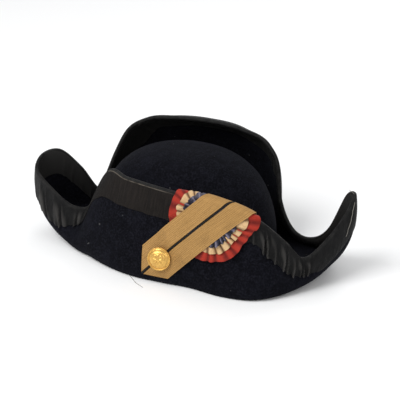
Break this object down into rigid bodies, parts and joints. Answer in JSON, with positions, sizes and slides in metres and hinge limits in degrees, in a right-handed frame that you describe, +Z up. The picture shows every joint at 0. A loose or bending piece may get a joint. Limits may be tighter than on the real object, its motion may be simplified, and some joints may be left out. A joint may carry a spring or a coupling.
{
  "type": "bicorne hat",
  "caption": "Worn dark felt bicorne with a ribbon-bound edge, two open upturned horns, a tall rear flap, a pleated tricolour cockade, a gold lace loop and a gilt button.",
  "frame": {"origin": "under the middle of the hat's bounding box, on the surface it rests on", "axes": "+X along the hat's length toward the narrow-tipped horn, +Y toward the tall rear flap, -Y toward the low flap with the cockade, +Z up"},
  "size_m": [0.378, 0.2154, 0.1327],
  "materials": {
    "felt": "dense dark navy-black felt, worn and a little dusty",
    "ribbon": "faded black ribbed silk ribbon, browner on the low flap",
    "silk_red": "pleated red silk, slightly faded",
    "silk_cream": "pleated cream silk, yellowed with age",
    "silk_blue": "pleated dark blue-violet silk",
    "gold_lace": "dull old gold woven lace with a fine lengthwise rib",
    "black_cord": "black cord, matt",
    "gilt": "bright gilt, slightly rubbed"
  },
  "bodies": {
    "root": {"felt_body": "felt", "border_ribbon": "ribbon", "cockade_red_ring": "silk_red", "cockade_cream_ring": "silk_cream", "cockade_blue_ring": "silk_blue", "lace_upper_run": "gold_lace", "lace_lower_run": "gold_lace", "lace_cord": "black_cord", "button": "gilt"}
  },
  "joints": []
}
